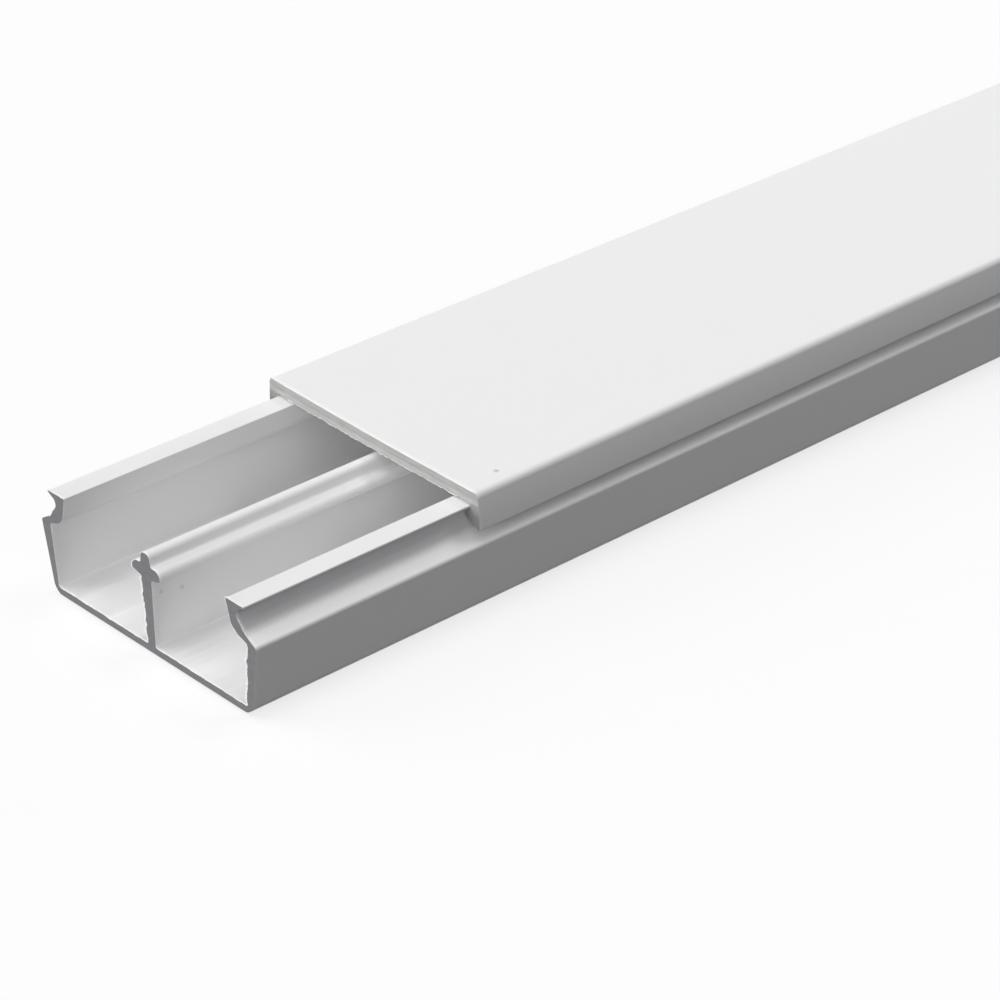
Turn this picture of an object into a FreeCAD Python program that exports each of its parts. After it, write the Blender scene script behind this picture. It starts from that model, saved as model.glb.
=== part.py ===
import FreeCAD, Part
import math
import os

# Cord cover raceway: an extruded two-channel base with a snap-fit cover that slides along it.
# Frame: X along the stock, Y across it, Z up from the underside of the release liner.
# Section heights are measured from the underside of the base. All sizes are in millimetres.

# Stock
STOCK_LENGTH = 1000.0
COVER_SETBACK = 32.9  # how far the cover is slid back from the base's near end

# Backing
ADHESIVE_WIDTH = 32.0
ADHESIVE_THICKNESS = 0.2
LINER_WIDTH = 33.0
LINER_THICKNESS = 0.08
BACKING_SETBACK = 2.0  # how far the backing stops short of each sawn end

# Base section
WIDTH = 40.0  # over the shoulders
FOOT_WIDTH = 36.9  # across the underside, where the leaning walls meet it
FOOT_RADIUS = 1.5
SHOULDER_HEIGHT = 9.2
SHOULDER_ANGLE = 29.7  # slope of the shoulder in degrees
SHOULDER_RADIUS = 0.3
SHOULDER = 1.1  # thickness of the sloping shoulder
WALL_FOOT = 0.75  # thickness of a wall at the underside's level
WALL_TOP = 1.65  # thickness of a wall at the shoulder's height
FLOOR = 0.9
INNER_RADIUS = 0.7
LIP_HEIGHT = 13.6
LIP_WIDTH = 36.2  # over the tips of the two snap lips
LIP_OPENING = 30.1  # between the lips
LIP_EDGE = 0.25  # thickness of a lip's tip
LIP_ANGLE = 36.0  # slope of a lip's underside in degrees
LIP_RADIUS = 0.1
NOTCH_DEPTH = 1.2  # from the lip's tip in to the neck
NOTCH_RADIUS = 1.1
BUMP_RADIUS = 1.0  # at the inner foot of the neck
CORNER_RADIUS = 0.4  # inside, where the shoulder meets the wall
NECK_LEAN = 0.8  # how far the neck's inner face leans out below the lip

# Divider
DIVIDER_SHIFT = -0.3  # from the middle of the base
WEB_FOOT = 1.36
WEB_TOP = 1.76
WEB_RADIUS = 0.6
HEAD_WIDTH = 5.1
HEAD_BOTTOM = 9.75
HEAD_TOP = 11.4
ARM_RISE = 0.4  # by how much an arm's underside rises towards its tip
ARM_DROP = 0.5  # by how much an arm's top falls towards its tip
ARM_RADIUS = 0.3
ROOT_RADIUS = 0.4  # in the hollows beside the web and the nub
NUB_WIDTH = 1.9
NUB_TOP = 12.95
NUB_TAPER = 0.2  # by how much each side of the nub closes in towards its top
NUB_RADIUS = 0.65

# Cover section
PLATE = 1.75
SEAT_GAP = 0.4  # between the lips and the cover's underside
HOOK_GAP = 0.2  # between a lip and the cover's hook
LEG = 1.4  # thickness of a leg beside the lip
LEG_LEAN = 0.3  # how far a leg leans out from the cover's top to its tip
LEG_CLEARANCE = 1.75  # from the shoulder's height up to the leg's tip
LEG_TIP = 0.3
LEG_RADIUS = 0.12
BEAD_REACH = 1.1  # how far the hook stands in from the leg
BEAD_RADIUS = 0.25
COVER_RADIUS = 0.8
COVER_INNER_RADIUS = 0.2

BASE_Z = ADHESIVE_THICKNESS + LINER_THICKNESS
BASE_START = -STOCK_LENGTH / 2
COVER_START = BASE_START + COVER_SETBACK


def rounded_wire(corners, x):
    """Close a wire through corners (y, z, radius) in the plane at x, with an arc at each corner."""
    edges = []
    last_end = None
    first_start = None
    for index, (y, z, radius) in enumerate(corners):
        here = FreeCAD.Vector(x, y, z)
        before = FreeCAD.Vector(x, *corners[index - 1][:2])
        after = FreeCAD.Vector(x, *corners[(index + 1) % len(corners)][:2])
        back = (before - here).normalize()
        ahead = (after - here).normalize()
        half_angle = back.getAngle(ahead) / 2
        reach = radius / math.tan(half_angle)
        start = here + back * reach
        end = here + ahead * reach
        inward = (back + ahead).normalize()
        middle = here + inward * (radius / math.sin(half_angle) - radius)
        if last_end is None:
            first_start = start
        else:
            edges.append(Part.makeLine(last_end, start))
        edges.append(Part.Arc(start, middle, end).toShape())
        last_end = end
    edges.append(Part.makeLine(last_end, first_start))
    return Part.Wire(edges)


def extrude_section(corners, start, length):
    """Extrude a closed section along the stock."""
    face = Part.Face(rounded_wire(corners, start))
    solid = face.extrude(FreeCAD.Vector(length, 0, 0))
    solid.translate(FreeCAD.Vector(0, 0, BASE_Z))
    return solid


def mirrored(corners):
    """The same corners on the other side, in reverse order, so that they carry the outline on."""
    return [(-y, z, radius) for y, z, radius in reversed(corners)]


def side_wall():
    """Corners of one side of the base, from the foot up over the lip and down to the floor."""
    half_width = WIDTH / 2
    half_foot = FOOT_WIDTH / 2
    lip_tip = LIP_WIDTH / 2
    lip_inner = LIP_OPENING / 2
    slope = math.tan(math.radians(SHOULDER_ANGLE))
    shoulder_down = SHOULDER * math.hypot(1, slope)
    # The wall's inner face leans out less than its outer face, so the wall thickens upwards.
    inner_foot = half_foot - WALL_FOOT
    inner_lean = (half_width - WALL_TOP - inner_foot) / SHOULDER_HEIGHT
    neck = lip_tip - NOTCH_DEPTH
    neck_inner = lip_inner + NECK_LEAN
    neck_bottom = SHOULDER_HEIGHT + (half_width - neck) * slope
    neck_top = LIP_HEIGHT - LIP_EDGE - NOTCH_DEPTH * math.tan(math.radians(LIP_ANGLE))
    under_neck = SHOULDER_HEIGHT + (half_width - neck_inner) * slope - shoulder_down
    # The inner faces of the wall and the shoulder meet here.
    inner_z = (SHOULDER_HEIGHT - shoulder_down + (half_width - inner_foot) * slope) / (1 + inner_lean * slope)
    inner_y = inner_foot + inner_lean * inner_z
    return [
        (half_foot, 0, FOOT_RADIUS),
        (half_width, SHOULDER_HEIGHT, SHOULDER_RADIUS),
        (neck, neck_bottom, NOTCH_RADIUS),
        (neck, neck_top, NOTCH_RADIUS),
        (lip_tip, LIP_HEIGHT - LIP_EDGE, LIP_RADIUS),
        (lip_tip, LIP_HEIGHT, LIP_RADIUS),
        (lip_inner, LIP_HEIGHT, LIP_RADIUS),
        (neck_inner, under_neck, BUMP_RADIUS),
        (inner_y, inner_z, CORNER_RADIUS),
        (inner_foot + inner_lean * FLOOR, FLOOR, INNER_RADIUS),
    ]


def divider():
    """Corners of the divider, from the floor on one side over its T head to the floor on the other."""
    head = HEAD_WIDTH / 2
    nub = NUB_WIDTH / 2
    half = [
        (WEB_FOOT / 2, FLOOR, WEB_RADIUS),
        (WEB_TOP / 2, HEAD_BOTTOM, ROOT_RADIUS),
        (head, HEAD_BOTTOM + ARM_RISE, ARM_RADIUS),
        (head, HEAD_TOP - ARM_DROP, ARM_RADIUS),
        (nub, HEAD_TOP, ROOT_RADIUS),
        (nub - NUB_TAPER, NUB_TOP, NUB_RADIUS),
    ]
    return [(y + DIVIDER_SHIFT, z, radius) for y, z, radius in half + mirrored(half)]


def make_base_channel():
    """The one-piece base: floor, two side walls with snap lips, and the divider."""
    corners = side_wall() + divider() + mirrored(side_wall())
    return extrude_section(corners, BASE_START, STOCK_LENGTH)


def make_cover():
    """The one-piece cover: a flat plate with a hooked leg along each side."""
    underside = LIP_HEIGHT + SEAT_GAP
    top = underside + PLATE
    leg_inner = LIP_WIDTH / 2 + HOOK_GAP
    leg_bottom = SHOULDER_HEIGHT + LEG_CLEARANCE
    slope = math.tan(math.radians(LIP_ANGLE))
    # The hook's upper face runs along the lip's underside, one hook gap away from it.
    hook_top = LIP_HEIGHT - LIP_EDGE + HOOK_GAP * slope - HOOK_GAP * math.hypot(1, slope)
    leg_outer = leg_inner + LEG
    lean_rate = LEG_LEAN / (top - leg_bottom)
    outer_top = leg_outer - lean_rate * (top - hook_top)
    outer_bottom = outer_top + LEG_LEAN
    half = [
        (outer_top, top, COVER_RADIUS),
        (outer_bottom, leg_bottom, LEG_RADIUS),
        (outer_bottom - LEG_TIP, leg_bottom, LEG_RADIUS),
        (leg_inner - BEAD_REACH, hook_top - BEAD_REACH * slope, BEAD_RADIUS),
        (leg_inner, hook_top, LEG_RADIUS),
        (leg_inner, underside, COVER_INNER_RADIUS),
    ]
    return extrude_section(half + mirrored(half), COVER_START, STOCK_LENGTH)


def make_strip(width, thickness, bottom):
    """A flat strip along the base, which stops just short of both ends."""
    corner = FreeCAD.Vector(BASE_START + BACKING_SETBACK, -width / 2, bottom)
    return Part.makeBox(STOCK_LENGTH - 2 * BACKING_SETBACK, width, thickness, corner)


def export(node, shape):
    shape.exportStep(os.path.join("parts", node + ".step"))


os.makedirs("parts", exist_ok=True)
export("base_channel", make_base_channel())
export("cover", make_cover())
export("adhesive_strip", make_strip(ADHESIVE_WIDTH, ADHESIVE_THICKNESS, LINER_THICKNESS))
export("release_liner", make_strip(LINER_WIDTH, LINER_THICKNESS, 0.0))
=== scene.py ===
import math

import bpy
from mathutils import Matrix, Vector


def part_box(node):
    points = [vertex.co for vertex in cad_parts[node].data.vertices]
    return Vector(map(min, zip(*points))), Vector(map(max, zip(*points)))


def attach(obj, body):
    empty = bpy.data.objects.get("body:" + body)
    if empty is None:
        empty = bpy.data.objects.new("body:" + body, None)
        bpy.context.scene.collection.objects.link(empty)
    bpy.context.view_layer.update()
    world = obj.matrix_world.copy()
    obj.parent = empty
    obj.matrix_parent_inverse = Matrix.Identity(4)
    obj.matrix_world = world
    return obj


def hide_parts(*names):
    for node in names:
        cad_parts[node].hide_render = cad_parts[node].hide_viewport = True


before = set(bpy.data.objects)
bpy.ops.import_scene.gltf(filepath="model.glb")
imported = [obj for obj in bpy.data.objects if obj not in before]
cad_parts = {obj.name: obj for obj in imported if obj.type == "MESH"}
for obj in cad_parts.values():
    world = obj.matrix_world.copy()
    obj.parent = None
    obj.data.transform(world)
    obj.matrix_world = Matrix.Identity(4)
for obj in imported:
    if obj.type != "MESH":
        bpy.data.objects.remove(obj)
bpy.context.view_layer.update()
mm = 0.001

# Base: the raceway's lower half, extruded in one piece from white rigid PVC and sawn to length.
# It has a floor, two leaning walls with sloped shoulders and snap lips, and a divider with a T head,
# and the cover's hooks hold under the lips.
base_low, base_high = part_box("base_channel")
base_length = base_high.x - base_low.x
base_underside = base_low.z

width = 40.0 * mm
foot_width = 36.9 * mm
foot_radius = 1.5 * mm
shoulder_height = 9.2 * mm
shoulder_slope = math.tan(math.radians(29.7))
shoulder_radius = 0.45 * mm
wall_foot = 0.75 * mm  # the wall's thickness at its foot, and at the shoulder
wall_top = 1.65 * mm
floor_thickness = 0.9 * mm
inner_radius = 0.4 * mm
lip_height = 13.6 * mm
lip_width = 36.2 * mm
lip_opening = 30.1 * mm
lip_edge = 0.25 * mm  # the lip's thickness at its outer edge
lip_radius = 0.1 * mm
notch_depth = 1.76 * mm  # in from the lip's edge, before rounding
notch_slope = math.tan(math.radians(27.0))
notch_radius = 0.8 * mm
notch_foot = 1.8 * mm  # in from the shoulder's edge to where the notch begins
notch_foot_radius = 2.0 * mm
bump_height = 10.1 * mm  # of the bump inside the wall, before rounding
bump_slope = math.tan(math.radians(20.0))
bump_radius = 2.0 * mm
corner_radius = 0.4 * mm
neck_lean = 0.8 * mm  # of the inner face from the lip down to the bump
divider_shift = -0.3 * mm  # off the middle of the base
web_foot = 1.36 * mm
web_top = 1.76 * mm
web_radius = 0.3 * mm
head_width = 5.1 * mm
head_bottom = 9.75 * mm
head_top = 11.4 * mm
arm_rise = 0.45 * mm  # of the arms' undersides, from the web to their tips
arm_tip_radius = 0.2 * mm
arm_top_radius = 0.9 * mm
root_radius = 0.4 * mm
nub_width = 1.9 * mm
nub_top = 12.95 * mm
nub_taper = 0.2 * mm
nub_radius = 0.65 * mm


def mirrored(corners):
    """The same corners on the other side, in reverse order."""
    return [(-y, z, radius) for y, z, radius in reversed(corners)]


def side_wall():
    """Corners of one side of the base, from the foot up over the lip and down to the floor."""
    inner_foot = foot_width / 2 - wall_foot
    inner_lean = (width / 2 - wall_top - inner_foot) / shoulder_height
    neck = lip_width / 2 - notch_depth
    neck_inner = lip_opening / 2 + neck_lean
    inner_drop = (inner_foot - neck_inner) * bump_slope
    inner_z = (bump_height - inner_drop) / (1 + inner_lean * bump_slope)
    return [
        (foot_width / 2, 0, foot_radius),
        (width / 2, shoulder_height, shoulder_radius),
        (width / 2 - notch_foot, shoulder_height + notch_foot * shoulder_slope, notch_foot_radius),
        (neck, lip_height - lip_edge - notch_depth * notch_slope, notch_radius),
        (lip_width / 2, lip_height - lip_edge, lip_radius),
        (lip_width / 2, lip_height, lip_radius),
        (lip_opening / 2, lip_height, lip_radius),
        (neck_inner, bump_height, bump_radius),
        (inner_foot + inner_lean * inner_z, inner_z, corner_radius),
        (inner_foot + inner_lean * floor_thickness, floor_thickness, inner_radius),
    ]


def divider():
    """Corners of the divider, from the floor on one side over its T head to the floor on the other."""
    half = [
        (web_foot / 2, floor_thickness, web_radius),
        (web_top / 2, head_bottom, root_radius),
        (head_width / 2, head_bottom + arm_rise, arm_tip_radius),
        (head_width / 2, head_top, arm_top_radius),
        (nub_width / 2, head_top, root_radius),
        (nub_width / 2 - nub_taper, nub_top, nub_radius),
    ]
    return [(y + divider_shift, z, radius) for y, z, radius in half + mirrored(half)]


def with_steps(points, longest):
    """The same closed outline with its long straight runs broken up, so that a burr can wander along them."""
    stepped = []
    for index, (y, z) in enumerate(points):
        after_y, after_z = points[(index + 1) % len(points)]
        steps = max(1, math.ceil(math.hypot(after_y - y, after_z - z) / longest))
        for step in range(steps):
            share = step / steps
            stepped.append((y + (after_y - y) * share, z + (after_z - z) * share))
    return stepped


def rounded_outline(corners, arc_step=math.radians(7.5), guard=0.045 * mm, longest=0.15 * mm):
    """Points of a closed outline whose corners are arcs. Each arc has a guard point beyond its ends,
    so that the flats beside it shade flat."""
    points = []
    for index, (y, z, radius) in enumerate(corners):
        before_y, before_z, _ = corners[index - 1]
        after_y, after_z, _ = corners[(index + 1) % len(corners)]
        back = math.atan2(before_z - z, before_y - y)
        ahead = math.atan2(after_z - z, after_y - y)
        opening = (ahead - back + math.pi) % (2 * math.pi) - math.pi
        half = abs(opening) / 2
        middle = back + opening / 2
        centre_y = y + radius / math.sin(half) * math.cos(middle)
        centre_z = z + radius / math.sin(half) * math.sin(middle)
        reach = radius / math.tan(half)
        turn = math.copysign(math.pi - abs(opening), -opening)
        start = back + math.copysign(math.pi / 2, -opening)
        steps = max(4, round(abs(turn) / arc_step))
        points.append((y + (reach + guard) * math.cos(back), z + (reach + guard) * math.sin(back)))
        for step in range(steps + 1):
            angle = start + turn * step / steps
            points.append((centre_y + radius * math.cos(angle), centre_z + radius * math.sin(angle)))
        points.append((y + (reach + guard) * math.cos(ahead), z + (reach + guard) * math.sin(ahead)))
    return with_steps(points, longest)


def section_object(name, outline, bottom):
    """A closed curve for a sweep, which stands its sections on their heads, so the outline goes in turned."""
    curve = bpy.data.curves.new(name + "_section", "CURVE")
    curve.dimensions = "3D"
    spline = curve.splines.new("POLY")
    spline.points.add(len(outline) - 1)
    for point, (y, z) in zip(spline.points, outline):
        point.co = (-y, -(z + bottom), 0, 1)
    spline.use_cyclic_u = True
    section = bpy.data.objects.new(name + "_section", curve)
    bpy.context.scene.collection.objects.link(section)
    return section


def add(tree, kind, inputs=(), **settings):
    """A node with its settings made and its inputs set, each from a value or from another node's output."""
    node = tree.nodes.new(kind)
    for key, value in settings.items():
        setattr(node, key, value)
    for key, value in dict(inputs).items():
        if isinstance(value, bpy.types.NodeSocket):
            tree.links.new(value, node.inputs[key])
        else:
            node.inputs[key].default_value = value
    return node


def calc(tree, operation, *values):
    """A math node's output."""
    node = tree.nodes.new("ShaderNodeMath")
    node.operation = operation
    for socket, value in zip(node.inputs, values):
        if isinstance(value, bpy.types.NodeSocket):
            tree.links.new(value, socket)
        else:
            socket.default_value = value
    return node.outputs[0]


def station_place(tree, given):
    """Where each station of a sweep goes. The first three steps from either end lie within the burr's reach,
    and the rest spread out towards the middle."""
    close_steps = 3.0
    close_power = 2.5
    spread_power = 2.4
    index = add(tree, "GeometryNodeInputIndex").outputs[0]
    last = calc(tree, "SUBTRACT", given["Stations"], 1.0)
    middle = calc(tree, "DIVIDE", last, 2.0)
    steps = calc(tree, "MINIMUM", index, calc(tree, "SUBTRACT", last, index))
    close = calc(tree, "MINIMUM", calc(tree, "DIVIDE", steps, close_steps), 1.0)
    close = calc(tree, "POWER", close, close_power)
    outer_steps = calc(tree, "MAXIMUM", calc(tree, "SUBTRACT", steps, close_steps), 0.0)
    spread = calc(tree, "DIVIDE", outer_steps, calc(tree, "SUBTRACT", middle, close_steps))
    spread = calc(tree, "POWER", spread, spread_power)
    less_reach = calc(tree, "MULTIPLY", given["Burr Reach"], -1.0)
    room = calc(tree, "MULTIPLY_ADD", given["Length"], 0.5, less_reach)
    inwards = calc(tree, "MULTIPLY", spread, room)
    inwards = calc(tree, "MULTIPLY_ADD", close, given["Burr Reach"], inwards)
    beyond_middle = calc(tree, "GREATER_THAN", index, middle)
    turned = calc(tree, "SUBTRACT", given["Length"], calc(tree, "MULTIPLY", inwards, 2.0))
    along = calc(tree, "MULTIPLY_ADD", beyond_middle, turned, inwards)
    return add(tree, "ShaderNodeCombineXYZ", {"X": calc(tree, "ADD", given["Start"], along)}).outputs[0]


def burr_sides(tree, given, outward, place):
    """How strong the burr is on each side: full where a face looks towards +Y, less on top and beneath,
    and none near the outer walls. It is thinner above a given height."""
    thinning = 1.0 * mm
    thinned_share = 0.3
    faced = add(tree, "ShaderNodeSeparateXYZ", {"Vector": outward}).outputs
    upper = calc(tree, "MULTIPLY", calc(tree, "MAXIMUM", faced["Z"], 0.0), given["Burr On Top"])
    lower = calc(tree, "MULTIPLY", calc(tree, "MINIMUM", faced["Z"], 0.0), given["Burr Beneath"])
    side = calc(tree, "MAXIMUM", faced["Y"], 0.0)
    side = calc(tree, "ADD", side, calc(tree, "SUBTRACT", upper, lower))
    kept = calc(tree, "LESS_THAN", calc(tree, "ABSOLUTE", place["Y"]), given["Burr Within"])
    above = calc(tree, "SUBTRACT", place["Z"], given["Burr Below"])
    thinned = add(
        tree, "ShaderNodeMapRange",
        {"Value": above, "From Max": thinning, "To Min": 1.0, "To Max": thinned_share})
    return calc(tree, "MULTIPLY", side, calc(tree, "MULTIPLY", kept, thinned.outputs[0]))


def burr_offset(tree, given):
    """A thin ragged burr that the saw leaves just behind a cut, on the sides where its teeth came out."""
    steepness = 16.0
    evenness, raggedness, nick_level = 0.4, 0.6, -0.35
    here = add(tree, "GeometryNodeInputPosition").outputs[0]
    place = add(tree, "ShaderNodeSeparateXYZ", {"Vector": here}).outputs
    normal = add(tree, "GeometryNodeInputNormal").outputs[0]
    flat = add(tree, "ShaderNodeVectorMath", {0: normal, 1: (0, 1, 1)}, operation="MULTIPLY").outputs[0]
    outward = add(tree, "ShaderNodeVectorMath", {0: flat}, operation="NORMALIZE").outputs[0]

    from_cut = add(tree, "GeometryNodeInputNamedAttribute", {"Name": "from_cut"}).outputs[0]
    reach = calc(tree, "DIVIDE", from_cut, given["Burr Reach"])
    fall = calc(tree, "MAXIMUM", calc(tree, "SUBTRACT", 1.0, reach), 0.0)
    rise = calc(tree, "MINIMUM", calc(tree, "MULTIPLY", reach, steepness), 1.0)
    scale = calc(tree, "DIVIDE", 1.0, given["Burr Pitch"])
    grain = add(
        tree, "ShaderNodeTexNoise", {"Vector": here, "W": given["Seed"], "Scale": scale, "Detail": 2.0},
        noise_dimensions="4D").outputs[0]
    uneven = add(tree, "ShaderNodeMapRange", {"Value": grain, "From Min": 0.3, "From Max": 0.7}).outputs[0]
    fringe = calc(tree, "MULTIPLY_ADD", uneven, raggedness, evenness)
    fringe = calc(tree, "MULTIPLY", fringe, calc(tree, "MULTIPLY", rise, fall))
    nicks = calc(tree, "MULTIPLY", calc(tree, "MULTIPLY_ADD", uneven, raggedness, nick_level), fall)
    depth = calc(tree, "MULTIPLY", calc(tree, "ADD", fringe, nicks), given["Burr Height"])
    depth = calc(tree, "MULTIPLY", depth, burr_sides(tree, given, outward, place))
    return add(tree, "ShaderNodeVectorMath", {0: outward, "Scale": depth}, operation="SCALE").outputs[0]


def end_offset(tree, given):
    """How far a cut lies off a square one: it slants across Y, and is bowed out in the middle."""
    fades_over = 60.0 * mm
    half_width = 19.7 * mm
    here = add(tree, "GeometryNodeInputPosition").outputs[0]
    place = add(tree, "ShaderNodeSeparateXYZ", {"Vector": here}).outputs
    from_start = calc(tree, "SUBTRACT", place["X"], given["Start"])
    near = add(
        tree, "ShaderNodeMapRange",
        {"Value": from_start, "From Max": fades_over, "To Min": 1.0, "To Max": 0.0})
    skewed = calc(tree, "MULTIPLY", place["Y"], given["End Skew"])
    across = calc(tree, "DIVIDE", place["Y"], half_width)
    crown = calc(tree, "SUBTRACT", 1.0, calc(tree, "MULTIPLY", across, across))
    bow = calc(tree, "MULTIPLY", given["End Bow"], -1.0)
    shift = calc(tree, "MULTIPLY_ADD", crown, bow, skewed)
    shift = calc(tree, "MULTIPLY", shift, near.outputs[0])
    return add(tree, "ShaderNodeCombineXYZ", {"X": shift}).outputs[0]


def extrusion_tree():
    """Sweeps a section along X between two sawn ends, and leaves a burr along their edges."""
    crease = math.radians(40)
    tree = bpy.data.node_groups.new("sawn_extrusion", "GeometryNodeTree")
    tree.interface.new_socket("Section", in_out="INPUT", socket_type="NodeSocketGeometry")
    for name, kind, value in (
        ("Start", "NodeSocketFloat", 0.0),
        ("Length", "NodeSocketFloat", 1.0),
        ("Stations", "NodeSocketInt", 17),
        ("End Skew", "NodeSocketFloat", 0.0),
        ("End Bow", "NodeSocketFloat", 0.0),
        ("Burr Height", "NodeSocketFloat", 0.1 * mm),
        ("Burr Reach", "NodeSocketFloat", 0.45 * mm),
        ("Burr Pitch", "NodeSocketFloat", 1.0 * mm),
        ("Burr On Top", "NodeSocketFloat", 0.0),
        ("Burr Beneath", "NodeSocketFloat", 0.0),
        ("Burr Within", "NodeSocketFloat", 1.0),
        ("Burr Below", "NodeSocketFloat", 1.0),
        ("Seed", "NodeSocketFloat", 0.0),
        ("Material", "NodeSocketMaterial", None),
    ):
        socket = tree.interface.new_socket(name, in_out="INPUT", socket_type=kind)
        if value is not None:
            socket.default_value = value
    tree.interface.new_socket("Mesh", in_out="OUTPUT", socket_type="NodeSocketGeometry")
    given = tree.nodes.new("NodeGroupInput").outputs
    result = tree.nodes.new("NodeGroupOutput")

    path = add(tree, "GeometryNodeCurvePrimitiveLine", {"End": (1, 0, 0)})
    stations = add(tree, "GeometryNodeResampleCurve", {"Curve": path.outputs[0], "Count": given["Stations"]})
    place = station_place(tree, given)
    laid = add(tree, "GeometryNodeSetPosition", {"Geometry": stations.outputs[0], "Position": place})
    swept = add(
        tree, "GeometryNodeCurveToMesh",
        {"Curve": laid.outputs[0], "Profile Curve": given["Section"], "Fill Caps": True})

    here = add(tree, "GeometryNodeInputPosition").outputs[0]
    x = add(tree, "ShaderNodeSeparateXYZ", {"Vector": here}).outputs["X"]
    from_start = calc(tree, "SUBTRACT", x, given["Start"])
    to_far_end = calc(tree, "SUBTRACT", given["Length"], from_start)
    from_cut = calc(tree, "MINIMUM", from_start, to_far_end)
    noted = add(
        tree, "GeometryNodeStoreNamedAttribute",
        {"Geometry": swept.outputs[0], "Name": "from_cut", "Value": from_cut}).outputs[0]
    burr = burr_offset(tree, given)
    burred = add(tree, "GeometryNodeSetPosition", {"Geometry": noted, "Offset": burr}).outputs[0]
    slant = end_offset(tree, given)
    sawn = add(tree, "GeometryNodeSetPosition", {"Geometry": burred, "Offset": slant}).outputs[0]

    angle = add(tree, "GeometryNodeInputMeshEdgeAngle").outputs["Unsigned Angle"]
    gentle = add(tree, "FunctionNodeCompare", {0: angle, 1: crease}, operation="LESS_THAN").outputs[0]
    shaded = add(
        tree, "GeometryNodeSetShadeSmooth", {"Geometry": sawn, "Shade Smooth": gentle}, domain="EDGE")
    real = add(tree, "GeometryNodeRealizeInstances", {"Geometry": shaded.outputs[0]}).outputs[0]
    coated = add(tree, "GeometryNodeSetMaterial", {"Geometry": real, "Material": given["Material"]})
    tree.links.new(coated.outputs[0], result.inputs[0])
    return tree


sawn_extrusion = extrusion_tree()


def extrude(name, corners, bottom, start, length, material, **inputs):
    """Runs a rounded section along X as a plain mesh object."""
    section = section_object(name, rounded_outline(corners), bottom)
    modifier = section.modifiers.new("extrusion", "NODES")
    modifier.node_group = sawn_extrusion
    values = {"Start": start, "Length": length, "Material": material}
    values.update({key.replace("_", " ").title(): value for key, value in inputs.items()})
    for item in sawn_extrusion.interface.items_tree:
        if item.in_out == "INPUT" and item.name in values:
            modifier[item.identifier] = values[item.name]
    evaluated = section.evaluated_get(bpy.context.evaluated_depsgraph_get())
    mesh = bpy.data.meshes.new_from_object(evaluated)
    section.modifiers.remove(modifier)
    curve = section.data
    bpy.data.objects.remove(section)
    bpy.data.curves.remove(curve)
    mesh.name = name
    piece = bpy.data.objects.new(name, mesh)
    bpy.context.scene.collection.objects.link(piece)
    return piece


def new_group(name, inputs, outputs):
    """An empty shader group with its sockets, its inputs' outputs and its output node."""
    tree = bpy.data.node_groups.new(name, "ShaderNodeTree")
    for socket_name, value in inputs:
        socket = tree.interface.new_socket(socket_name, in_out="INPUT", socket_type="NodeSocketFloat")
        socket.default_value = value
    for socket_name in outputs:
        tree.interface.new_socket(socket_name, in_out="OUTPUT", socket_type="NodeSocketFloat")
    return tree, tree.nodes.new("NodeGroupInput").outputs, tree.nodes.new("NodeGroupOutput").inputs


def stretched_noise(tree, along, scale, detail=2.0):
    """Noise on the piece's own coordinates. It is drawn out along X, the more the smaller `along` is."""
    place = add(tree, "ShaderNodeTexCoord").outputs["Object"]
    drawn = add(tree, "ShaderNodeMapping", {"Vector": place, "Scale": (along, 1, 1)})
    noise = add(tree, "ShaderNodeTexNoise", {"Vector": drawn.outputs[0], "Scale": scale, "Detail": detail})
    return noise.outputs[0]


def weighed(tree, parts):
    """The sum of some masks, each times its share."""
    total = 0.0
    for mask, share in parts:
        total = calc(tree, "MULTIPLY_ADD", mask, share, total)
    return total


def die_lines_group():
    """Faint lines that the die leaves all along an extrusion, under the fine grain of its satin skin."""
    inputs = [("Fine Scale", 1500.0), ("Broad Scale", 160.0), ("Grain Scale", 3800.0)]
    tree, given, result = new_group("die_lines", inputs, ["Height", "Streaks"])
    fine = stretched_noise(tree, 0.004, given["Fine Scale"])
    broad = stretched_noise(tree, 0.02, given["Broad Scale"])
    grain = stretched_noise(tree, 0.7, given["Grain Scale"])
    tree.links.new(weighed(tree, [(fine, 0.1), (broad, 0.15), (grain, 0.75)]), result["Height"])
    tree.links.new(weighed(tree, [(fine, 0.15), (broad, 0.2), (grain, 0.65)]), result["Streaks"])
    return tree


def near_to_far(tree, value, reach):
    """1 where a value is 0, falling smoothly to 0 where it gets to the given reach."""
    inputs = {"Value": value, "From Max": reach, "To Min": 1.0, "To Max": 0.0}
    return add(tree, "ShaderNodeMapRange", inputs, interpolation_type="SMOOTHSTEP").outputs[0]


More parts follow.
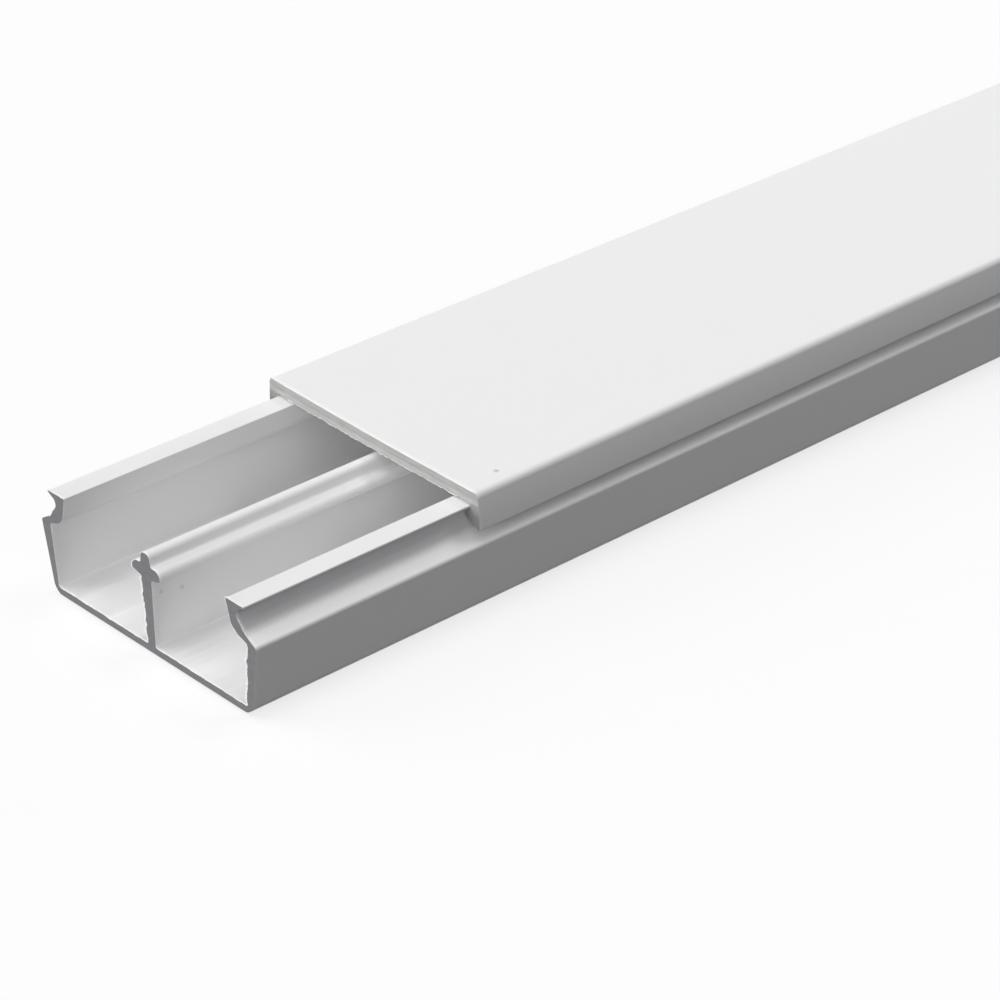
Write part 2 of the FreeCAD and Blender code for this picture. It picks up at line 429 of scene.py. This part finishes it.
def saw_cut_group():
    """Masks of a sawn end: the cut face, the burr round it, the whitened rim beside it, and saw scratches."""
    square_on = 0.7
    skin = 0.003 * mm
    scratch_scale = 4000.0
    outputs = ["Face", "Burr", "Rim", "Scratches"]
    tree, given, result = new_group("saw_cut", [("Rim Width", 0.55 * mm)], outputs)
    from_cut = add(tree, "ShaderNodeAttribute", attribute_name="from_cut").outputs["Fac"]
    normal = add(tree, "ShaderNodeTexCoord").outputs["Normal"]
    facing = calc(tree, "ABSOLUTE", add(tree, "ShaderNodeSeparateXYZ", {"Vector": normal}).outputs["X"])
    turned = calc(tree, "GREATER_THAN", facing, square_on)
    face = calc(tree, "MULTIPLY", turned, calc(tree, "LESS_THAN", from_cut, skin))
    burr = calc(tree, "SUBTRACT", turned, face)
    rim = near_to_far(tree, from_cut, given["Rim Width"])
    rim = calc(tree, "MULTIPLY", rim, calc(tree, "SUBTRACT", 1.0, turned))
    place = add(tree, "ShaderNodeTexCoord").outputs["Object"]
    tilted = {"Vector": place, "Scale": (1, 0.12, 1), "Rotation": (0.5, 0, 0)}
    drawn = add(tree, "ShaderNodeMapping", tilted).outputs[0]
    fine = {"Vector": drawn, "Scale": scratch_scale, "Detail": 3.0}
    scratch = add(tree, "ShaderNodeTexNoise", fine).outputs[0]
    tree.links.new(face, result["Face"])
    tree.links.new(burr, result["Burr"])
    tree.links.new(rim, result["Rim"])
    tree.links.new(calc(tree, "MULTIPLY", scratch, face), result["Scratches"])
    return tree


def speck_group():
    """One small mark at a given place on a piece, such as a speck of dust or a scuff."""
    inputs = [("X", 0.0), ("Y", 0.0), ("Z", 0.0), ("Size", 0.3 * mm)]
    tree, given, result = new_group("speck", inputs, ["Mark"])
    place = add(tree, "ShaderNodeTexCoord").outputs["Object"]
    blur = add(tree, "ShaderNodeTexNoise", {"Vector": place, "Scale": 4000.0}).outputs[0]
    middle = add(tree, "ShaderNodeCombineXYZ", {key: given[key] for key in "XYZ"}).outputs[0]
    between = add(tree, "ShaderNodeVectorMath", {0: place, 1: middle}, operation="DISTANCE")
    uneven = calc(tree, "MULTIPLY", between.outputs["Value"], calc(tree, "ADD", blur, 0.5))
    tree.links.new(near_to_far(tree, uneven, given["Size"]), result["Mark"])
    return tree


die_lines = die_lines_group()
saw_cut = saw_cut_group()
speck = speck_group()


def blend_colours(tree, share, first, second, blend_type="MIX"):
    """A colour mixed from two, each a value or a socket."""
    node = add(tree, "ShaderNodeMix", {"Factor": share}, data_type="RGBA", blend_type=blend_type)
    for socket, value in zip([s for s in node.inputs if s.type == "RGBA"], (first, second)):
        if isinstance(value, bpy.types.NodeSocket):
            tree.links.new(value, socket)
        else:
            socket.default_value = (*value, 1)
    return next(s for s in node.outputs if s.type == "RGBA")


def bumped(tree, height, strength, depth):
    """A bump node's normal."""
    bump = add(tree, "ShaderNodeBump", {"Height": height, "Strength": strength, "Distance": depth})
    return bump.outputs[0]


def tone_by_height(tree, stops, blue):
    """A grey that follows the height over the base's underside, given as (millimetres, grey) stops."""
    place = add(tree, "ShaderNodeTexCoord").outputs["Object"]
    height = add(tree, "ShaderNodeSeparateXYZ", {"Vector": place}).outputs["Z"]
    lowest, highest = stops[0][0], stops[-1][0]
    span = {"From Min": base_underside + lowest * mm, "From Max": base_underside + highest * mm}
    share = add(tree, "ShaderNodeMapRange", {"Value": height, **span})
    ramp = add(tree, "ShaderNodeValToRGB", {"Fac": share.outputs[0]})
    elements = ramp.color_ramp.elements
    while len(elements) < len(stops):
        elements.new(0.5)
    for element, (level, _) in zip(elements, stops):
        element.position = (level - lowest) / (highest - lowest)
    for element, (_, grey) in zip(elements, stops):
        element.color = (grey, grey, grey * blue, 1)
    return ramp.outputs[0]


def painted_notch_shade_mask(tree):
    """1 on the base's outside between the foot of the notch and the underside of the lip, and 0 elsewhere:
    where shade under the lip is painted into the colour.
    """
    fades_over = 0.7 * mm
    past_neck = 0.1 * mm
    place = add(tree, "ShaderNodeTexCoord").outputs["Object"]
    parts = add(tree, "ShaderNodeSeparateXYZ", {"Vector": place}).outputs
    foot = base_underside + shoulder_height + notch_foot * shoulder_slope
    climb = add(
        tree, "ShaderNodeMapRange", {"Value": parts["Z"], "From Min": foot, "From Max": foot + fades_over},
        interpolation_type="SMOOTHSTEP").outputs[0]
    aside = calc(tree, "ABSOLUTE", parts["Y"])
    outside = calc(tree, "GREATER_THAN", aside, lip_width / 2 - notch_depth + past_neck)
    below_lip = calc(tree, "LESS_THAN", parts["Z"], base_underside + lip_height - lip_edge)
    return calc(tree, "MULTIPLY", climb, calc(tree, "MULTIPLY", outside, below_lip))


def white_pvc_material(name, cut_painted_shade, cut_shade_blue, marks, notch_painted_shade=None):
    """Satin white rigid PVC, with die lines, a stress-whitened rim at each cut, a rougher sawn face coloured
    grey as painted shade, and, where given, painted shade in the notch.
    """
    body = (0.905, 0.905, 0.905)
    streak = (0.885, 0.885, 0.88)
    whitened = (0.97, 0.97, 0.97)
    burr = (0.97, 0.97, 0.97)
    dirt = (0.42, 0.41, 0.4)
    evenness, mottling = 0.7, 0.6
    satin, streak_dulling, saw_dulling = 0.36, 0.12, 0.3
    material = bpy.data.materials.new(name)
    material.use_nodes = True
    tree = material.node_tree
    shader = tree.nodes["Principled BSDF"]
    lines = add(tree, "ShaderNodeGroup", node_tree=die_lines).outputs
    cut = add(tree, "ShaderNodeGroup", node_tree=saw_cut).outputs
    colour = blend_colours(tree, lines["Streaks"], body, streak)
    # Painted shade: the notch under each lip is coloured darker, where shade falls.
    if notch_painted_shade is not None:
        colour = blend_colours(tree, painted_notch_shade_mask(tree), colour, notch_painted_shade)
    for (x, y, z), size, strength in marks:
        at = {"X": x, "Y": y, "Z": z, "Size": size}
        mark = add(tree, "ShaderNodeGroup", at, node_tree=speck).outputs[0]
        colour = blend_colours(tree, calc(tree, "MULTIPLY", mark, strength), colour, dirt)
    colour = blend_colours(tree, cut["Rim"], colour, whitened)
    colour = blend_colours(tree, cut["Burr"], colour, burr)
    mottled = calc(tree, "MULTIPLY_ADD", cut["Scratches"], mottling, evenness)
    # Painted shade: the sawn face is coloured grey by height, as it looks in shade, and mottled by its
    # scratches.
    sawn = blend_colours(tree, 1.0, tone_by_height(tree, cut_painted_shade, cut_shade_blue), mottled, "MULTIPLY")
    colour = blend_colours(tree, cut["Face"], colour, sawn)
    tree.links.new(colour, shader.inputs["Base Color"])
    rough = calc(tree, "MULTIPLY_ADD", lines["Streaks"], streak_dulling, satin)
    rough = calc(tree, "MULTIPLY_ADD", cut["Face"], saw_dulling, rough)
    tree.links.new(rough, shader.inputs["Roughness"])
    shader.inputs["IOR"].default_value = 1.5
    relief = calc(tree, "ADD", lines["Height"], cut["Scratches"])
    tree.links.new(bumped(tree, relief, 0.4, 0.02 * mm), shader.inputs["Normal"])
    return material


# The cut face's painted shade by height in millimetres, which greys the sawn end, and specks of dirt as their
# place, size and strength.
base_cut_painted_shade = [(0.0, 0.185), (6.0, 0.19), (11.0, 0.18), (13.6, 0.185)]
base_marks = [
    ((-0.49875, -0.00114, 0.00809), 0.4 * mm, 0.45),
    ((-0.49586, -0.00112, 0.00755), 0.45 * mm, 0.45),
    ((-0.48158, -0.01766, 0.01082), 0.4 * mm, 0.4),
]
# A cool tint for the sawn end's painted shade.
base_cut_shade_blue = 1.05
# The notch's painted shade, a grey that darkens the base under its lips.
base_notch_painted_shade = (0.66, 0.66, 0.665)
base_pvc = white_pvc_material("base_white_pvc", base_cut_painted_shade, base_cut_shade_blue, base_marks, base_notch_painted_shade)
base_corners = side_wall() + divider() + mirrored(side_wall())
base = extrude(
    "base_extrusion", base_corners, base_underside, base_low.x, base_length, base_pvc,
    burr_height=0.6 * mm, burr_pitch=0.9 * mm, burr_on_top=0.35, burr_within=18.4 * mm,
    burr_below=base_underside + 9.8 * mm, seed=3.0)
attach(base, "base")
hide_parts("base_channel")

# Cover: the raceway's lid, extruded in one piece from the same white PVC, with a hooked leg down each side.
# Its hooks snap under the base's lips, and it is slid back along them, which leaves the near end open.
cover_low, cover_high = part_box("cover")
seat_gap = 0.4 * mm
plate = 1.75 * mm
hook_gap = 0.2 * mm
hook_slope = math.tan(math.radians(36.0))
leg = 1.4 * mm
leg_lean = 0.3 * mm
leg_clearance = 1.75 * mm
leg_tip = 0.3 * mm
leg_radius = 0.12 * mm
bead_reach = 1.1 * mm
bead_radius = 0.25 * mm
cover_radius = 0.8 * mm
cover_inner_radius = 0.2 * mm
side_crown = 0.13 * mm
side_radius = 26.0 * mm


def cover_section():
    """Corners of the cover, round one leg and back round the other."""
    underside = lip_height + seat_gap
    top = underside + plate
    leg_inner = lip_width / 2 + hook_gap
    leg_bottom = shoulder_height + leg_clearance
    hook_top = lip_height - lip_edge + hook_gap * (hook_slope - math.hypot(1, hook_slope))
    outer_top = leg_inner + leg - leg_lean * (top - hook_top) / (top - leg_bottom)
    outer_bottom = outer_top + leg_lean
    outer_middle = (outer_top + outer_bottom) / 2 + side_crown
    half = [
        (outer_top, top, cover_radius),
        (outer_middle, (top - cover_radius + leg_bottom) / 2, side_radius),
        (outer_bottom, leg_bottom, leg_radius),
        (outer_bottom - leg_tip, leg_bottom, leg_radius),
        (leg_inner - bead_reach, hook_top - bead_reach * hook_slope, bead_radius),
        (leg_inner, hook_top, leg_radius),
        (leg_inner, underside, cover_inner_radius),
    ]
    outline = half + mirrored(half)
    return outline[::-1]


# Painted shade on the cover's sawn end by height: darkest on the leg's end, with a darker band across the
# plate and a near-white rim at its top edge.
cover_cut_painted_shade = [
    (10.9, 0.22), (12.5, 0.22), (13.5, 0.29), (13.95, 0.32), (14.1, 0.43), (14.5, 0.45), (14.75, 0.36),
    (14.85, 0.36), (15.05, 0.39), (15.5, 0.39), (15.62, 0.8), (15.75, 0.95)]
cover_marks = [((-0.46267, -0.01707, 0.01603), 0.5 * mm, 0.85)]
cover_cut_shade_blue = 0.98
cover_pvc = white_pvc_material("cover_white_pvc", cover_cut_painted_shade, cover_cut_shade_blue, cover_marks)
cover = extrude(
    "cover_extrusion", cover_section(), base_underside, cover_low.x, cover_high.x - cover_low.x, cover_pvc,
    end_skew=0.032, end_bow=0.2 * mm, burr_height=0.3 * mm, burr_pitch=0.8 * mm, burr_beneath=0.6,
    burr_within=16.0 * mm, seed=8.0)
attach(cover, "cover")
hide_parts("cover")

# Adhesive strip: a cream double-sided film along the whole underside, rolled on at the works.
# It holds the base to a wall or a skirting board.
strip_low, strip_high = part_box("adhesive_strip")


def strip_section(low, high):
    """Corners of a flat strip, just rounded at its slit edges."""
    rounded_share = 0.2
    edge_radius = (high.z - low.z) * rounded_share
    return [
        (low.y, 0, edge_radius),
        (high.y, 0, edge_radius),
        (high.y, high.z - low.z, edge_radius),
        (low.y, high.z - low.z, edge_radius),
    ]


def adhesive_material():
    """Cream pressure-sensitive adhesive, soft and slightly cloudy, with drawn-out streaks."""
    greenish = (0.66, 0.67, 0.52)
    cream = (0.76, 0.74, 0.58)
    material = bpy.data.materials.new("cream_adhesive")
    material.use_nodes = True
    tree = material.node_tree
    shader = tree.nodes["Principled BSDF"]
    clouds = stretched_noise(tree, 0.3, 90.0, 4.0)
    colour = blend_colours(tree, clouds, greenish, cream)
    tree.links.new(colour, shader.inputs["Base Color"])
    shader.inputs["Roughness"].default_value = 0.32
    grain = stretched_noise(tree, 0.15, 900.0, 3.0)
    tree.links.new(bumped(tree, grain, 0.3, 0.03 * mm), shader.inputs["Normal"])
    return material


adhesive = extrude(
    "adhesive_film", strip_section(strip_low, strip_high), strip_low.z,
    strip_low.x, strip_high.x - strip_low.x, adhesive_material(),
    burr_height=0.0)
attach(adhesive, "base")
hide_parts("adhesive_strip")

# Release liner: golden-brown glazed kraft paper over the adhesive, slit to the strip's width.
# It is peeled off just before the base is stuck down.
liner_low, liner_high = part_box("release_liner")


def kraft_material():
    """Glazed kraft paper: cloudy fibres, fine flecks and a low gloss."""
    brown = (0.50, 0.33, 0.075)
    golden = (0.64, 0.46, 0.13)
    dark_fleck = (0.36, 0.22, 0.05)
    fleck_strength = 0.4
    glaze, fibre_dulling = 0.4, 0.25
    material = bpy.data.materials.new("kraft_paper")
    material.use_nodes = True
    tree = material.node_tree
    shader = tree.nodes["Principled BSDF"]
    clouds = stretched_noise(tree, 0.7, 260.0, 5.0)
    fibres = stretched_noise(tree, 0.12, 2600.0, 3.0)
    colour = blend_colours(tree, clouds, brown, golden)
    fleck = add(tree, "ShaderNodeMapRange", {"Value": fibres, "From Min": 0.58, "From Max": 0.75}).outputs[0]
    colour = blend_colours(tree, calc(tree, "MULTIPLY", fleck, fleck_strength), colour, dark_fleck)
    tree.links.new(colour, shader.inputs["Base Color"])
    rough = calc(tree, "MULTIPLY_ADD", fibres, fibre_dulling, glaze)
    tree.links.new(rough, shader.inputs["Roughness"])
    tree.links.new(bumped(tree, fibres, 0.35, 0.02 * mm), shader.inputs["Normal"])
    return material


liner = extrude(
    "liner_paper", strip_section(liner_low, liner_high), liner_low.z,
    liner_low.x, liner_high.x - liner_low.x, kraft_material(),
    burr_height=0.0)
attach(liner, "base")
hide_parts("release_liner")

# Stage: a pale floor that the raceway lies on. The camera and reflections see it nearly white, and it keeps
# the object's soft shadow. Other rays see a dim floor, so that the sides stay darker than the top.
floor_reach = 6.0
floor_level = -0.02 * mm
floor_mesh = bpy.data.meshes.new("floor")
floor_corners = [
    (-floor_reach, -floor_reach, floor_level),
    (floor_reach, -floor_reach, floor_level),
    (floor_reach, floor_reach, floor_level),
    (-floor_reach, floor_reach, floor_level),
]
floor_mesh.from_pydata(floor_corners, [], [(0, 1, 2, 3)])
stage_floor = bpy.data.objects.new("floor", floor_mesh)
bpy.context.scene.collection.objects.link(stage_floor)


def seen_by_camera(tree):
    """1 for camera, glossy and transmission rays, 0 for the light that falls on the object."""
    path = add(tree, "ShaderNodeLightPath").outputs
    seen = calc(tree, "MAXIMUM", path["Is Camera Ray"], path["Is Glossy Ray"])
    return calc(tree, "MAXIMUM", seen, path["Is Transmission Ray"])


def floor_material():
    """A floor that is three parts plain white and one part lit, so that its shadows are light."""
    dim_colour = (0.03, 0.03, 0.032, 1)
    pale_colour = (0.95, 0.95, 0.95, 1)
    plain_share = 0.75
    plain_strength = 1.02
    material = bpy.data.materials.new("pale_floor")
    material.use_nodes = True
    material.cycles.emission_sampling = "NONE"
    tree = material.node_tree
    tree.nodes.clear()
    dim = add(tree, "ShaderNodeBsdfDiffuse", {"Color": dim_colour})
    pale = add(tree, "ShaderNodeBsdfDiffuse", {"Color": pale_colour})
    plain = add(tree, "ShaderNodeEmission", {"Color": (1, 1, 1, 1), "Strength": plain_strength})
    lit = add(tree, "ShaderNodeMixShader", {"Fac": plain_share, 1: pale.outputs[0], 2: plain.outputs[0]})
    seen = seen_by_camera(tree)
    shown = add(tree, "ShaderNodeMixShader", {"Fac": seen, 1: dim.outputs[0], 2: lit.outputs[0]})
    output = add(tree, "ShaderNodeOutputMaterial")
    tree.links.new(shown.outputs[0], output.inputs["Surface"])
    return material


floor_mesh.materials.append(floor_material())

# Light: plain soft studio lamps, high ones for the top, wide low ones for the sides, and one level with each
# sawn end. The surround looks white and gives no light of its own.
world = bpy.data.worlds.new("surround")
bpy.context.scene.world = world
world.use_nodes = True
sky = world.node_tree
sky.nodes.clear()
unlit = add(sky, "ShaderNodeBackground", {"Color": (0, 0, 0, 1), "Strength": 0.0})
white = add(sky, "ShaderNodeBackground", {"Color": (1, 1, 1, 1), "Strength": 1.0})
surround = add(
    sky, "ShaderNodeMixShader", {"Fac": seen_by_camera(sky), 1: unlit.outputs[0], 2: white.outputs[0]})
sky_output = add(sky, "ShaderNodeOutputWorld")
sky.links.new(surround.outputs[0], sky_output.inputs["Surface"])

softbox_place = (0, 0, 1.5)
# Each lamp's name, energy, elevation, azimuth, spread and warmth. An azimuth of 180 is beyond the near end.
for name, energy, elevation, azimuth, spread, warmth in (
    ("overhead_softbox", 0.32, 90, 0, 15, 1.0),
    ("back_softbox", 0.32, 62, 0, 13, 1.0),
    ("corner_softbox", 0.30, 57, 330, 13, 1.0),
    ("key_softbox", 0.29, 70, 150, 14, 1.0),
    ("side_softbox", 0.23, 70, 90, 20, 1.0),
    ("left_softbox", 1.25, 32, 120, 45, 1.0),
    ("near_softbox", 0.45, 32, 180, 45, 1.0),
    ("front_fill", 0.65, 32, 240, 45, 0.97),
    ("end_fill", 0.60, 15, 180, 45, 1.0),
    ("end_light", 0.90, 4, 180, 12, 1.0),
    ("far_end_light", 1.60, 2, 0, 10, 1.0),
):
    softbox = bpy.data.lights.new(name, "SUN")
    softbox.energy = energy
    softbox.angle = math.radians(spread)
    softbox.color = (warmth, warmth, 1)
    softbox_object = bpy.data.objects.new(name, softbox)
    softbox_object.location = softbox_place
    softbox_object.rotation_euler = (0, math.radians(90 - elevation), math.radians(azimuth))
    bpy.context.scene.collection.objects.link(softbox_object)

# Camera: beyond the near end and to the left of the stock, with a long lens.
# It looks down by 29 degrees and is rolled a little.
camera_turn = math.radians(40.91)
camera_pitch = math.radians(29.12)
camera_roll = math.radians(1.5)
sensor = 36.0
focal_share = 3.3959
camera_place = (-0.68373, -0.27271, 0.20049)
camera_data = bpy.data.cameras.new("camera")
camera_data.sensor_width = sensor
camera_data.lens = sensor * focal_share
camera_data.clip_start = 0.01
camera_data.clip_end = 100
camera = bpy.data.objects.new("camera", camera_data)
camera.rotation_mode = "XYZ"
bpy.context.scene.collection.objects.link(camera)
bpy.context.scene.camera = camera
level = Matrix.Rotation(-camera_turn, 4, "Z") @ Matrix.Rotation(math.pi / 2 - camera_pitch, 4, "X")
rolled = level @ Matrix.Rotation(-camera_roll, 4, "Z")
camera.matrix_world = Matrix.Translation(camera_place) @ rolled

bpy.context.scene.view_settings.view_transform = "Standard"
